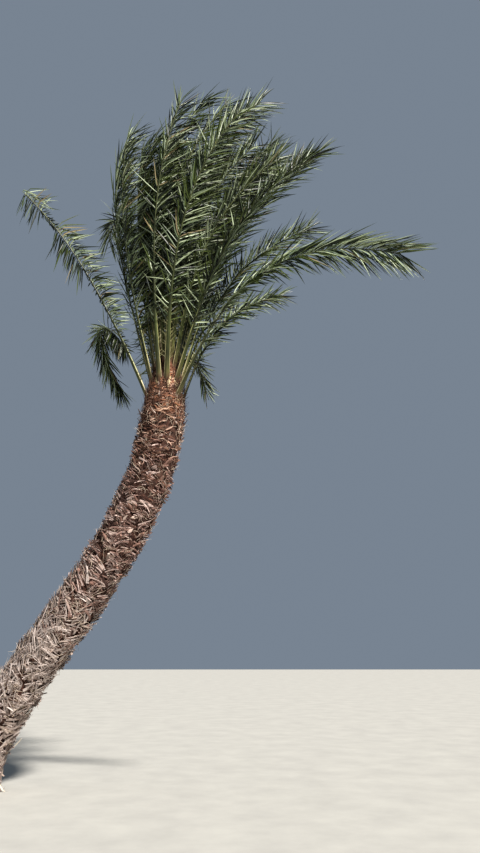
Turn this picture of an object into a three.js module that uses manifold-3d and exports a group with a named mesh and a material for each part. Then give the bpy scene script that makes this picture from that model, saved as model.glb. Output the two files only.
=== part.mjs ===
// A date palm tree in the wind: one leaning trunk, clad in the cut bases of old leaves, and a crown
// of feather fronds that the wind sweeps to the right.
// Millimetres, +Z up. The origin is the middle of the flat cut at ground level under the trunk.
import * as THREE from "three";
import { mergeVertices } from "three/addons/utils/BufferGeometryUtils.js";
import Module from "manifold-3d";

const wasm = await Module();
wasm.setup();

// Trunk: how tall it stands, how far its neck leans from its foot, and how thick it is.
const TRUNK_HEIGHT = 5000;
const LEAN_RIGHT = 2100;
const LEAN_FRONT = 800;
const LEAN_TOP = 4800;
const FOOT_BEND = 1.66;
const NECK_BEND = 3.15;
const TRUNK_RADIUS = 236;
const FLARE = 100;
const FLARE_HEIGHT = 330;
const NECK_START = 3950;
const NECK_TAPER = 0.62;
const TIP_RADIUS = 14;
const TRUNK_SIDES = 16;
const TRUNK_RINGS = 62;
const BASE_RELIEF = 24;

// Stalks: thick at the sheath, which starts inside the neck, and thin at the tip. The wind's sway and
// the stalk's own droop both grow towards the tip.
const STALK_DEPTH = 38;
const RIB_WIDTH = 12;
const RIB_DEPTH = 9;
const STALK_TAPER = 3.4;
const SHEATH_DROP = 130;
const SHEATH_SINK = 75;
const WIND = new THREE.Vector3(1, 0.15, 0.12);
const SWAY_GROWTH = 2.2;
const DROOP_GROWTH = 1.3;
const STALK_STEPS = 240;

// Leaflets: broad ones, each in place of several, in pairs along the outer part of the stalk. They
// open less and less towards the tip, and bend at an elbow, where wind and weight take over.
const FIRST_LEAFLET = 0.2;
const LEAFLET_PAIRS = 24;
const FULL_FROND = 3300;
const LEAFLET_LENGTH = 430;
const SHORTEST_SHARE = 0.4;
const FULLEST_AT = 0.7;
const OPEN_AT_FOOT = 56;
const OPEN_AT_TIP = 27;
const LIFT = 0.35;
const ELBOW = 0.3;
const LEAST_SPREAD = 0.3;
const SWEEP = 0.35;
const HANG = 0.1;
const BROKEN_ELBOW = 0.1;
const BROKEN_DROP = 3.5;
const FIRST_PAIR = 3;

// Clearances: the stalks from the trunk, and each leaflet from its neighbours in other fronds.
const SEAT_GAP = 0.4;
const LEAFLET_GAP = 4;
const SHORTER = [1, 0.75, 0.5, 0.3];

const UP = new THREE.Vector3(0, 0, 1);
const LEFT = 1;
const RIGHT = -1;
const WHOLE = "w";
const BROKEN = "b";
const NONE = "n";

// Each whorl: the height of its sheaths, the width of its stalks there, and its fronds as azimuth
// (0 is right, 90 is back), rise above level in degrees, length, how far the wind bends it over, and
// how far it droops. Some also say how far their leaflets hang and the wind sweeps them, how far the
// wind has rolled the frond over, its left side up, and how long its whole leaflets are as a share of
// the usual. Left and right say what became of the leaflets on each side from the foot to the tip: w
// for whole, b for broken, n for none left.
const WHORLS = {
  lower: {
    height: 4200,
    stalkWidth: 70,
    fronds: [
      { azimuth: 3, rise: 72, length: 1850, sway: 0.8, droop: 0.75, hang: 0.5, roll: 1.1 },
      { azimuth: 84, rise: 62, length: 2900, sway: 0.3, droop: 0.6 },
      { azimuth: 60, rise: 82, length: 1220, sway: 0.15, droop: 1.9, hang: 0.6 },
      { azimuth: 110, rise: 60, length: 2800, sway: 0.3, droop: 0.8, hang: 0.8 },
      {
        azimuth: 169,
        rise: 69,
        length: 2050,
        sway: 0.85,
        droop: 1.9,
        hang: 0.8,
        left: "nbwww",
        right: "nbwww",
      },
      {
        azimuth: 193,
        rise: 66,
        length: 2900,
        sway: 0.0,
        droop: 0.55,
        hang: 0.9,
        sweep: 2.0,
        roll: 1.2,
        left: "nwwwwwnw",
        right: "nnnnbbnb",
      },
      { azimuth: 320, rise: 59, length: 3200, sway: 0.9, droop: 1.36, hang: 0.6, roll: 1.5, leaf: 1.2 },
    ],
  },
  middle: {
    height: 4380,
    stalkWidth: 64,
    fronds: [
      { azimuth: 20, rise: 72, length: 2900, sway: 0.8, droop: 0.5, hang: 0.25, roll: 1.1 },
      { azimuth: 62, rise: 74, length: 3300, sway: 0.3, droop: 0.4 },
      { azimuth: 95, rise: 70, length: 3200, sway: 0.4, droop: 0.5 },
      { azimuth: 138, rise: 78.5, length: 3500, sway: 0.1, droop: 1.12, hang: 0.8 },
      { azimuth: 170, rise: 74, length: 3300, sway: 0.4, droop: 0.3 },
      { azimuth: 205, rise: 75, length: 3120, sway: 0.38, droop: 0.0, leaf: 1.15 },
      { azimuth: 247, rise: 79, length: 3380, sway: 0.45, droop: 0.0 },
      { azimuth: 277, rise: 76, length: 3350, sway: 0.85, droop: 0.0 },
      { azimuth: 318, rise: 68, length: 3100, sway: 0.7, droop: 0.45, hang: 0.2, roll: 0.9 },
      { azimuth: 350, rise: 75, length: 3250, sway: 0.85, droop: 0.1, hang: 0.25, roll: 0.9 },
    ],
  },
  upper: {
    height: 4560,
    stalkWidth: 56,
    fronds: [
      { azimuth: 5, rise: 76, length: 3400, sway: 0.85, droop: 0.15, roll: 0.6 },
      { azimuth: 50, rise: 76, length: 3500, sway: 0.6, droop: 0.1 },
      { azimuth: 95, rise: 78, length: 3500, sway: 0.5, droop: 0.1 },
      { azimuth: 140, rise: 79, length: 3400, sway: 0.5, droop: 0.0 },
      { azimuth: 185, rise: 80, length: 3000, sway: 0.3, droop: 0.0 },
      { azimuth: 230, rise: 82, length: 3550, sway: 0.8, droop: 0.0 },
      { azimuth: 275, rise: 79, length: 3530, sway: 1.2, droop: 0.0 },
      { azimuth: 315, rise: 77, length: 2900, sway: 1.1, droop: 0.1 },
    ],
  },
  inner: {
    height: 4660,
    stalkWidth: 50,
    fronds: [
      { azimuth: 28, rise: 80, length: 3500, sway: 0.75, droop: 0.0 },
      { azimuth: 118, rise: 81, length: 3200, sway: 0.5, droop: 0.0 },
      { azimuth: 162, rise: 82, length: 3000, sway: 0.35, droop: 0.0 },
      { azimuth: 253, rise: 82, length: 3400, sway: 0.95, droop: 0.0 },
      { azimuth: 340, rise: 79, length: 3000, sway: 1.0, droop: 0.0 },
      { azimuth: 206, rise: 78, length: 2900, sway: 0.5, droop: 0.1 },
      { azimuth: 298, rise: 77, length: 2800, sway: 0.9, droop: 0.1 },
    ],
  },
  heart: {
    height: 4800,
    stalkWidth: 46,
    fronds: [
      { azimuth: 65, rise: 83, length: 3000, sway: 0.6, droop: 0.0 },
      { azimuth: 200, rise: 85, length: 2700, sway: 0.35, droop: 0.0 },
      { azimuth: 300, rise: 84, length: 2800, sway: 0.6, droop: 0.0 },
    ],
  },
};

const trunkBark = new THREE.MeshStandardMaterial({ color: 0x8a7358, roughness: 0.95, metalness: 0 });
const frondGreens = [0x5c6b3c, 0x6d7a46, 0x4c5a35, 0x7a7f50].map(
  (color) => new THREE.MeshStandardMaterial({ color, roughness: 0.6, metalness: 0 }),
);

// The middle of the trunk at a height: upright at the foot, leaning half way, upright at the neck.
function trunkCentre(z) {
  const part = Math.min(Math.max(z / LEAN_TOP, 0), 1);
  const lean = 1 - (1 - part ** FOOT_BEND) ** NECK_BEND;
  return new THREE.Vector3(LEAN_RIGHT * lean, -LEAN_FRONT * lean, z);
}

// The trunk's radius at a height: a flare at the foot, and a neck that closes under the fronds.
function trunkRadius(z) {
  const radius = TRUNK_RADIUS + FLARE * Math.exp(-z / FLARE_HEIGHT);
  const closed = Math.max(0, (z - NECK_START) / (TRUNK_HEIGHT - NECK_START));
  return Math.max(TIP_RADIUS, radius * (1 - closed) ** NECK_TAPER);
}

class TrunkLine extends THREE.Curve {
  getPoint(t) {
    return trunkCentre(t * TRUNK_HEIGHT);
  }
}

// The trunk is a cylinder whose rings are set square across the bent middle line. Every other point
// of every other column stands proud, staggered, which gives the lattice of cut leaf bases. The foot
// ring and the neck are smooth. Grown makes it that much thicker.
function trunkGeometry(grown) {
  const line = new TrunkLine();
  const cylinder = new THREE.CylinderGeometry(1, 1, 1, TRUNK_SIDES, TRUNK_RINGS);
  const places = cylinder.attributes.position;
  for (let i = 0; i < places.count; i++) {
    const share = places.getY(i) + 0.5;
    const angle = Math.atan2(places.getZ(i), places.getX(i));
    const onAxis = Math.hypot(places.getX(i), places.getZ(i)) < 0.5;
    const middle = line.getPointAt(share);
    const along = share === 0 ? UP : line.getTangentAt(share);
    const front = new THREE.Vector3().crossVectors(along, new THREE.Vector3(1, 0, 0)).normalize();
    const right = new THREE.Vector3().crossVectors(front, along).normalize();
    const column = Math.round((angle / (2 * Math.PI)) * TRUNK_SIDES) + TRUNK_SIDES;
    const row = Math.round(share * TRUNK_RINGS);
    const turn = column % 4 === 0 ? 0 : 1;
    const clad = row > 0 && middle.z < NECK_START && column % 2 === 0 && row % 2 === turn;
    const relief = clad ? BASE_RELIEF / 2 : -BASE_RELIEF / 2;
    const radius = onAxis ? 0 : trunkRadius(middle.z) + relief + grown;
    middle.addScaledVector(right, radius * Math.cos(angle));
    middle.addScaledVector(front, -radius * Math.sin(angle));
    places.setXYZ(i, middle.x, middle.y, middle.z);
  }
  return cylinder;
}

// A closed geometry as a solid that can be cut, and back.
function solidOf(geometry) {
  const bare = geometry.clone();
  bare.deleteAttribute("normal");
  bare.deleteAttribute("uv");
  const merged = mergeVertices(bare, 1e-3);
  return new wasm.Manifold(
    new wasm.Mesh({
      numProp: 3,
      vertProperties: merged.attributes.position.array,
      triVerts: new Uint32Array(merged.index.array),
    }),
  );
}

function geometryOf(solid) {
  const { vertProperties, triVerts } = solid.getMesh();
  const geometry = new THREE.BufferGeometry();
  geometry.setAttribute("position", new THREE.BufferAttribute(vertProperties, 3));
  geometry.setIndex(new THREE.BufferAttribute(triVerts, 1));
  geometry.computeVertexNormals();
  return geometry;
}

// The stalk of a frond as places along it, each with its own forward, sideways and upward
// directions. The stalk starts inside the neck, and wind and weight bend it further out.
function stalkLine(frond, height) {
  const azimuth = THREE.MathUtils.degToRad(frond.azimuth);
  const rise = THREE.MathUtils.degToRad(frond.rise);
  const out = new THREE.Vector3(Math.cos(azimuth), Math.sin(azimuth), 0);
  const across = new THREE.Vector3(-Math.sin(azimuth), Math.cos(azimuth), 0);
  const start = out.clone().multiplyScalar(Math.cos(rise)).addScaledVector(UP, Math.sin(rise));
  const place = trunkCentre(height).addScaledVector(out, trunkRadius(height));
  const fine = [];
  for (let i = 0; i <= STALK_STEPS; i++) {
    const s = i / STALK_STEPS;
    const along = start
      .clone()
      .addScaledVector(WIND, frond.sway * s ** SWAY_GROWTH)
      .addScaledVector(UP, -frond.droop * s ** DROOP_GROWTH)
      .normalize();
    const turn = (frond.roll ?? 0) * Math.sin((Math.PI / 2) * s);
    const side = across.clone().addScaledVector(along, -across.dot(along)).normalize();
    side.applyAxisAngle(along, turn);
    fine.push({ s, place: place.clone(), along, side, up: new THREE.Vector3().crossVectors(along, side) });
    place.addScaledVector(along, frond.length / STALK_STEPS);
  }
  return fine;
}

// Where the sections of a stalk lie: two in the sheath and the bare stalk, then one at each leaflet.
function stations(frond, { height, stalkWidth }) {
  const fine = stalkLine(frond, height).map((section) => ({ ...section, stalkWidth }));
  const shares = [0, FIRST_LEAFLET / 2];
  const pairs = Math.round((LEAFLET_PAIRS * frond.length) / FULL_FROND);
  for (let i = 0; i <= pairs; i++) shares.push(FIRST_LEAFLET + ((1 - FIRST_LEAFLET) * i) / pairs);
  const sections = shares.map((s) => fine[Math.round(s * STALK_STEPS)]);
  const first = sections[0];
  const out = first.along.clone().setZ(0).normalize();
  const sheath = trunkCentre(height - SHEATH_DROP);
  sheath.addScaledVector(out, trunkRadius(height - SHEATH_DROP) - SHEATH_SINK);
  return [{ ...first, place: sheath }, ...sections];
}

// The four corners of the stalk at a section: left top, right top, right foot, left foot.
function corners(section) {
  const width = RIB_WIDTH + (section.stalkWidth - RIB_WIDTH) * (1 - section.s) ** STALK_TAPER;
  const depth = RIB_DEPTH + (STALK_DEPTH - RIB_DEPTH) * (1 - section.s) ** STALK_TAPER;
  return [
    [1, 1],
    [-1, 1],
    [-1, -1],
    [1, -1],
  ].map(([x, y]) =>
    section.place
      .clone()
      .addScaledVector(section.side, (x * width) / 2)
      .addScaledVector(section.up, (y * depth) / 2),
  );
}

// What became of the leaflets at a share of the stalk: whole, broken or none.
function markAt(frond, s, hand) {
  const marks = hand === LEFT ? frond.left : frond.right;
  return marks[Math.floor(((s - FIRST_LEAFLET) / (1 - FIRST_LEAFLET)) * marks.length)];
}

// The tip of a leaflet: it leaves the rib at its own angle, and its outer half is swept by the wind
// and hangs by its weight. It stays on its own side of the rib.
function leafletTip(frond, i, hand, share) {
  const section = frond.sections[i];
  const broken = markAt(frond, section.s, hand) === BROKEN;
  const full = SHORTEST_SHARE + (1 - SHORTEST_SHARE) * Math.sin((Math.PI / 2) * (section.s / FULLEST_AT));
  const grown = LEAFLET_LENGTH * full * Math.sqrt(frond.length / FULL_FROND);
  const length = grown * (broken ? 1 : frond.leaf) * share;
  const angle = THREE.MathUtils.degToRad(OPEN_AT_FOOT + (OPEN_AT_TIP - OPEN_AT_FOOT) * section.s);
  const root = section.along
    .clone()
    .multiplyScalar(Math.cos(angle))
    .addScaledVector(section.side, hand * Math.sin(angle))
    .addScaledVector(section.up, LIFT * Math.sin(angle))
    .normalize();
  const end = root.clone().addScaledVector(WIND, broken ? 0 : frond.sweep);
  end.addScaledVector(UP, -(broken ? BROKEN_DROP : frond.hang)).normalize();
  const elbow = broken ? BROKEN_ELBOW : ELBOW;
  const way = root.multiplyScalar(elbow * length).addScaledVector(end, (1 - elbow) * length);
  const missing = LEAST_SPREAD * length - hand * way.dot(section.side);
  if (missing > 0) way.addScaledVector(section.side, hand * missing);
  return section.place.clone().add(way);
}

// The flat skin of a polygon, as triangles from its first corner.
function fan(points) {
  return points.slice(2).map((point, i) => [points[0], points[i + 1], point]);
}

// The four faces of a stalk between two sections: top, right, foot, left.
function faces(near, far) {
  return near.map((corner, k) => [corner, near[(k + 1) % 4], far[(k + 1) % 4], far[k]]);
}

function geometryFrom(triangles) {
  const geometry = new THREE.BufferGeometry();
  geometry.setFromPoints(triangles.flat());
  return mergeVertices(geometry, 1e-3);
}

// One leaflet: a wedge from the wall of the rib between two sections to its tip.
function wedge(wall, tip) {
  return wall.map((corner, i) => [corner, wall[(i + 1) % wall.length], tip]);
}

function boxOf(triangles) {
  return new THREE.Box3().setFromPoints(triangles.flat());
}

// A leaflet a little larger than life, to keep the gap to whatever it could touch.
function swollen(wall, tip) {
  const middle = new THREE.Vector3();
  wall.forEach((corner) => middle.addScaledVector(corner, 0.25));
  const away = (point) => point.clone().addScaledVector(point.clone().sub(middle).normalize(), LEAFLET_GAP);
  const bigWall = wall.map(away);
  const triangles = [...wedge(bigWall, away(tip)), ...fan(bigWall.slice().reverse())];
  return { box: boxOf(triangles), solid: solidOf(geometryFrom(triangles)) };
}

function touches(piece, others) {
  return others.some((other) => {
    if (!piece.box.intersectsBox(other.box)) return false;
    const common = piece.solid.intersect(other.solid);
    const hit = !common.isEmpty();
    common.delete();
    return hit;
  });
}

const trunkSolid = solidOf(trunkGeometry(0));
const trunkSeat = solidOf(trunkGeometry(SEAT_GAP));
const trunkBox = new THREE.Box3().setFromBufferAttribute(trunkGeometry(0).attributes.position);

// The stalk alone, in lengths between neighbouring sections.
function stalkPieces(sections) {
  return sections.slice(1).map((section, i) => {
    const near = corners(sections[i]);
    const far = corners(section);
    const triangles = [near.slice().reverse(), ...faces(near, far), far].flatMap(fan);
    return { place: i, box: boxOf(triangles), solid: solidOf(geometryFrom(triangles)) };
  });
}

const fronds = Object.entries(WHORLS).flatMap(([whorlName, whorl]) =>
  whorl.fronds.map((frond, i) => {
    const sections = stations(frond, whorl);
    const { length, hang = HANG, sweep = SWEEP, leaf = 1, left = WHOLE, right = WHOLE } = frond;
    const name = `frond_${whorlName}_${i + 1}`;
    const stalk = stalkPieces(sections);
    return { name, length, hang, sweep, leaf, left, right, sections, stalk, leaflets: [] };
  }),
);

// The wall of the rib that a leaflet grows from, and the leaflet at the longest length that clears
// the trunk, the other stalks, and every leaflet that already has its place.
function placeLeaflet(frond, i, hand) {
  if (markAt(frond, frond.sections[i].s, hand) === NONE) return;
  const [, right, , left] = faces(corners(frond.sections[i]), corners(frond.sections[i + 1]));
  const wall = hand === LEFT ? left : right;
  const far = (part) => Math.abs(part.place - i) > 1;
  const others = fronds.filter((other) => other !== frond);
  const neighbours = [
    { box: trunkBox, solid: trunkSolid },
    ...others.flatMap((other) => [...other.stalk, ...other.leaflets]),
    ...frond.stalk.filter(far),
    ...frond.leaflets.filter((leaflet) => far(leaflet) || leaflet.hand !== hand),
  ];
  for (const share of SHORTER) {
    const tip = leafletTip(frond, i, hand, share);
    const piece = swollen(wall, tip);
    if (!touches(piece, neighbours)) {
      frond.leaflets.push({ place: i, hand, tip, ...piece });
      return;
    }
    piece.solid.delete();
  }
}

// Leaflets are dealt out one pair at a time to every frond, so that no frond takes all the room.
const mostSections = Math.max(...fronds.map((frond) => frond.sections.length));
for (let back = 2; back <= mostSections - FIRST_PAIR + 1; back++) {
  fronds.forEach((frond) => {
    const i = frond.sections.length - back;
    if (i < FIRST_PAIR) return;
    placeLeaflet(frond, i, LEFT);
    placeLeaflet(frond, i, RIGHT);
  });
}

// The whole frond as one closed skin: its ends, its upper and lower faces, and on both sides either
// a leaflet or the plain wall of the rib.
function frondSolid(frond) {
  const grown = (wall, place, hand) => {
    const leaflet = frond.leaflets.find((one) => one.place === place && one.hand === hand);
    return leaflet ? wedge(wall, leaflet.tip) : fan(wall);
  };
  const rings = frond.sections.map(corners);
  const triangles = [...fan(rings[0].slice().reverse()), ...fan(rings.at(-1))];
  rings.slice(1).forEach((ring, i) => {
    const [top, right, foot, left] = faces(rings[i], ring);
    triangles.push(...fan(top), ...fan(foot), ...grown(right, i, RIGHT), ...grown(left, i, LEFT));
  });
  const whole = solidOf(geometryFrom(triangles)).subtract(trunkSeat);
  return whole.decompose().sort((a, b) => b.volume() - a.volume())[0];
}

const palm = new THREE.Group();
palm.name = "date_palm";

const trunk = new THREE.Mesh(geometryOf(trunkSolid), trunkBark);
trunk.name = "trunk";
palm.add(trunk);

fronds.forEach((frond, i) => {
  const mesh = new THREE.Mesh(geometryOf(frondSolid(frond)), frondGreens[i % frondGreens.length]);
  mesh.name = frond.name;
  palm.add(mesh);
});

export default palm;
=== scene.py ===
"""A date palm tree in the wind, dressed over its frame.

Metres, +Z up. The origin is the middle of the foot of the trunk. The trunk and the stalks follow
the same rule as the frame's solids, and so do the leaflets, which have their true number here.
"""

import math
from dataclasses import dataclass

import bmesh
import bpy
import numpy as np
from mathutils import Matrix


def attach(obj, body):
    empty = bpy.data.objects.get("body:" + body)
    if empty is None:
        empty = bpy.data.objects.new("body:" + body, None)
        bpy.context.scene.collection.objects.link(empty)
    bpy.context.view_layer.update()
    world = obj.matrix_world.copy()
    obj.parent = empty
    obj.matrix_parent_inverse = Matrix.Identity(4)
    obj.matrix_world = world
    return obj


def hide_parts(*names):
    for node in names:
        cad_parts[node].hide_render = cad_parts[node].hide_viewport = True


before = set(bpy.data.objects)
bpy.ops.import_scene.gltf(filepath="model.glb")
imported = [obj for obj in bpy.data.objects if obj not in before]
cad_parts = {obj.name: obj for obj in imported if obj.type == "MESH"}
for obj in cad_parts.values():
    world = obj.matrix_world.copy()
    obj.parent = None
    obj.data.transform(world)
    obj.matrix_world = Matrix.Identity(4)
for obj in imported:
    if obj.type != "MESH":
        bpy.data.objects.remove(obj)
scene = bpy.context.scene
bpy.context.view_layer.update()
trunk_rng = np.random.default_rng(29)
crown_rng = np.random.default_rng(41)

UP = np.array([0.0, 0.0, 1.0])
RIGHT = np.array([1.0, 0.0, 0.0])

# Trunk: how tall it stands, how far its neck leans from its foot, and how thick it is.
TRUNK_HEIGHT = 5.0
LEAN_RIGHT = 2.1
LEAN_FRONT = 0.8
LEAN_TOP = 4.8
FOOT_BEND = 1.66
NECK_BEND = 3.15
TRUNK_RADIUS = 0.236
FLARE = 0.1
FLARE_HEIGHT = 0.33
NECK_START = 3.95
NECK_TAPER = 0.62
TIP_RADIUS = 0.014

# Stalks: wide at the sheath and thin at the tip. Sway and droop grow towards the tip.
STALK_DEPTH = 0.038
RIB_WIDTH = 0.012
RIB_DEPTH = 0.009
STALK_TAPER = 3.4
SHEATH_DROP = 0.13
SHEATH_SINK = 0.075
WIND = np.array([1.0, 0.15, 0.12])
SWAY_GROWTH = 2.2
DROOP_GROWTH = 1.3
STALK_STEPS = 240

# Leaflets: their true number, and the rule that opens them, lifts them and bends them.
FIRST_LEAFLET = 0.2
LEAFLET_PAIRS = 165
SPRAYS = 30
SPRAY_SHARE = 0.12
FULL_FROND = 3.3
LEAFLET_LENGTH = 0.43
LEAFLET_WIDTH = 0.02
SHORTEST_SHARE = 0.4
FULLEST_AT = 0.7
OPEN_AT_FOOT = 56
OPEN_AT_TIP = 27
LIFT = 0.35
ELBOW = 0.3
LEAST_SPREAD = 0.3
SWEEP = 0.35
HANG = 0.1
BROKEN_ELBOW = 0.1
BROKEN_DROP = 3.5

# Leaf bases: one every golden angle round the trunk, with stubs and nested tents of sheath strips.
# A tent's strips lean more from one to the next. Some cross the rest, are broad or stand proud.
BASE_PITCH = 0.026
GOLDEN_ANGLE = math.radians(137.508)
STRIPS_A_BASE = 34
TENT_HALF_WIDTH = 0.035
TENT_GROWTH = 0.075
TENT_START = 0.01
TENT_RISE = 0.21
TENT_LEAN = 0.45
TENT_FANNING = 0.35
CROSSING_SHARE = 0.08
BROAD_SHARE = 0.15
PROUD_SHARE = 0.15
THREADS_A_BASE = 20
SPIKES = 46
NECK_FIBRES = 420
NECK_BANDS = 520
BAND_WAVE = 0.5


@dataclass
class Spec:
    """A frond. Azimuth (0 is right, 90 is back) and rise are in degrees, and length in metres. Sway
    and droop are how far the wind and its own weight bend its stalk over, and roll is how far it is
    turned about its stalk, its left side up. Hang and sweep are how far its leaflets sag and the
    wind carries them. Leaf, dense and fan are how long, how many and how fanned out they are, and
    ruffle is how uneven: more than 1 means worn, with stumps between. Left and right mark what
    became of them on each side, foot to tip: w for whole, b for broken, n for none left."""

    azimuth: float
    rise: float
    length: float
    sway: float
    droop: float
    hang: float = HANG
    sweep: float = SWEEP
    roll: float = 0.0
    leaf: float = 1.0
    dense: float = 1.0
    fan: float = 1.0
    ruffle: float = 1.0
    left: str = "w"
    right: str = "w"


@dataclass
class Whorl:
    """The height of a whorl's sheaths, the width of its stalks there, how its leaflets share out
    the tints, and its fronds."""

    height: float
    stalk_width: float
    tints: tuple
    fronds: list


WHORLS = {
    "lower": Whorl(4.2, 0.07, (0.34, 0.18, 0.23, 0.22, 0.03), [
        Spec(3, 72, 1.85, 0.8, 0.75, hang=0.5, roll=1.1, dense=1.4),
        Spec(84, 62, 2.9, 0.3, 0.6),
        Spec(60, 82, 1.22, 0.15, 1.9, hang=0.6),
        Spec(110, 60, 2.8, 0.3, 0.8, hang=0.8),
        Spec(169, 69, 2.05, 0.85, 1.9, hang=0.8, dense=2.0, left="nbwww", right="nbwww"),
        Spec(
            193, 66, 2.9, 0.0, 0.55, hang=0.9, sweep=2.0, roll=1.2, dense=1.4, ruffle=3.0,
            left="nwwwwwnw", right="nnnnbbnb",
        ),
        Spec(
            320, 59, 3.2, 0.9, 1.36, hang=0.6, roll=1.5, leaf=1.2, dense=1.4,
            fan=0.3, ruffle=0.4,
        ),
    ]),
    "middle": Whorl(4.38, 0.064, (0.34, 0.28, 0.21, 0.15, 0.02), [
        Spec(20, 72, 2.9, 0.8, 0.5, hang=0.25, roll=1.1),
        Spec(62, 74, 3.3, 0.3, 0.4),
        Spec(95, 70, 3.2, 0.4, 0.5),
        Spec(138, 78.5, 3.5, 0.1, 1.12, hang=0.8),
        Spec(170, 74, 3.3, 0.4, 0.3),
        Spec(205, 75, 3.12, 0.38, 0.0, leaf=1.15),
        Spec(247, 79, 3.38, 0.45, 0.0),
        Spec(277, 76, 3.35, 0.85, 0.0),
        Spec(318, 68, 3.1, 0.7, 0.45, hang=0.2, roll=0.9),
        Spec(350, 75, 3.25, 0.85, 0.1, hang=0.25, roll=0.9),
    ]),
    "upper": Whorl(4.56, 0.056, (0.33, 0.31, 0.20, 0.15, 0.01), [
        Spec(5, 76, 3.4, 0.85, 0.15, roll=0.6),
        Spec(50, 76, 3.5, 0.6, 0.1),
        Spec(95, 78, 3.5, 0.5, 0.1),
        Spec(140, 79, 3.4, 0.5, 0.0),
        Spec(185, 80, 3.0, 0.3, 0.0),
        Spec(230, 82, 3.55, 0.8, 0.0),
        Spec(275, 79, 3.53, 1.2, 0.0),
        Spec(315, 77, 2.9, 1.1, 0.1),
    ]),
    "inner": Whorl(4.66, 0.05, (0.30, 0.36, 0.16, 0.17, 0.01), [
        Spec(28, 80, 3.5, 0.75, 0.0),
        Spec(118, 81, 3.2, 0.5, 0.0),
        Spec(162, 82, 3.0, 0.35, 0.0),
        Spec(253, 82, 3.4, 0.95, 0.0),
        Spec(340, 79, 3.0, 1.0, 0.0),
        Spec(206, 78, 2.9, 0.5, 0.1),
        Spec(298, 77, 2.8, 0.9, 0.1),
    ]),
    "heart": Whorl(4.8, 0.046, (0.28, 0.38, 0.15, 0.18, 0.01), [
        Spec(65, 83, 3.0, 0.6, 0.0),
        Spec(200, 85, 2.7, 0.35, 0.0),
        Spec(300, 84, 2.8, 0.6, 0.0),
    ]),
}
# The tints by name, and how worn leaflets and broken ones share them out. The near-black dark tint
# is partly painted shade, and the pale tint is partly painted highlight.
TINTS = ("dark", "olive", "grey", "pale", "straw")
WORN_TINTS = (0.18, 0.08, 0.3, 0.38, 0.06)
# Broken leaflets take mostly the dark tint: partly their own dead colour, partly painted shade
# where they hang.
BROKEN_AND_SHADE_TINTS = (0.8, 0.14, 0.04, 0.01, 0.01)


# Camera, light and floor. The camera stands at eye height and looks up by its tilt in degrees, and
# the sun comes over its right shoulder.
SENSOR_WIDTH = 36
FOCAL_LENGTH = 32.07
CAMERA_PLACE = (2.94, -9.0, 1.45)
CAMERA_TILT = 16.53
SUN_STRENGTH = 7.2
SUN_WIDTH = 5
SUN_COLOUR = (1.0, 0.96, 0.9)
SUN_FROM_ZENITH = 46
SUN_TURN = 38
SKY_COLOUR = (0.62, 0.74, 0.9, 1)
SKY_STRENGTH = 0.3
FLOOR_REACH = 60


def add(name, data):
    """A new object in the scene."""
    made = bpy.data.objects.new(name, data)
    scene.collection.objects.link(made)
    return made


def place_camera():
    data = bpy.data.cameras.new("camera")
    data.sensor_width = SENSOR_WIDTH
    data.lens = FOCAL_LENGTH
    scene.camera = add("camera", data)
    scene.camera.location = CAMERA_PLACE
    scene.camera.rotation_euler = (math.radians(90 + CAMERA_TILT), 0, 0)


def light_studio():
    data = bpy.data.lights.new("key", "SUN")
    data.energy = SUN_STRENGTH
    data.angle = math.radians(SUN_WIDTH)
    data.color = SUN_COLOUR
    key = add("key", data)
    key.rotation_euler = (math.radians(SUN_FROM_ZENITH), 0, math.radians(SUN_TURN))
    world = bpy.data.worlds.new("studio")
    world.use_nodes = True
    background = world.node_tree.nodes["Background"]
    background.inputs["Color"].default_value = SKY_COLOUR
    background.inputs["Strength"].default_value = SKY_STRENGTH
    scene.world = world
    scene.view_settings.view_transform = "Standard"
    scene.view_settings.look = "Medium High Contrast"


def lay_floor(material):
    bm = bmesh.new()
    bmesh.ops.create_grid(bm, x_segments=4, y_segments=4, size=FLOOR_REACH)
    mesh = meshed("floor", bm)
    mesh.materials.append(material)
    add("floor", mesh)


def meshed(name, bm):
    """The finished mesh of a shape under work."""
    mesh = bpy.data.meshes.new(name)
    bm.to_mesh(mesh)
    bm.free()
    return mesh


# Finishes: how fine and how strong the grain is, and where it shows one colour only.
GRAIN_DETAIL = 5.0
GRAIN_ROUGHNESS = 0.62
DARK_UP_TO = 0.32
LIGHT_FROM = 0.68
RELIEF_STRENGTH = 0.7
STREAKS = (18, 9, 1)
THREAD_LEAN = 0.5


def linear(colour):
    """A colour as hex digits, in the linear values that a shader takes."""
    parts = [int(colour[i : i + 2], 16) / 255 for i in (0, 2, 4)]
    return [c / 12.92 if c <= 0.04045 else ((c + 0.055) / 1.055) ** 2.4 for c in parts] + [1.0]


def node(tree, kind, **values):
    """A shader node. A value goes to the input of its name, or else to the setting."""
    made = tree.nodes.new(kind)
    for name, value in values.items():
        if name in made.inputs:
            made.inputs[name].default_value = value
        else:
            setattr(made, name, value)
    return made


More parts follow.
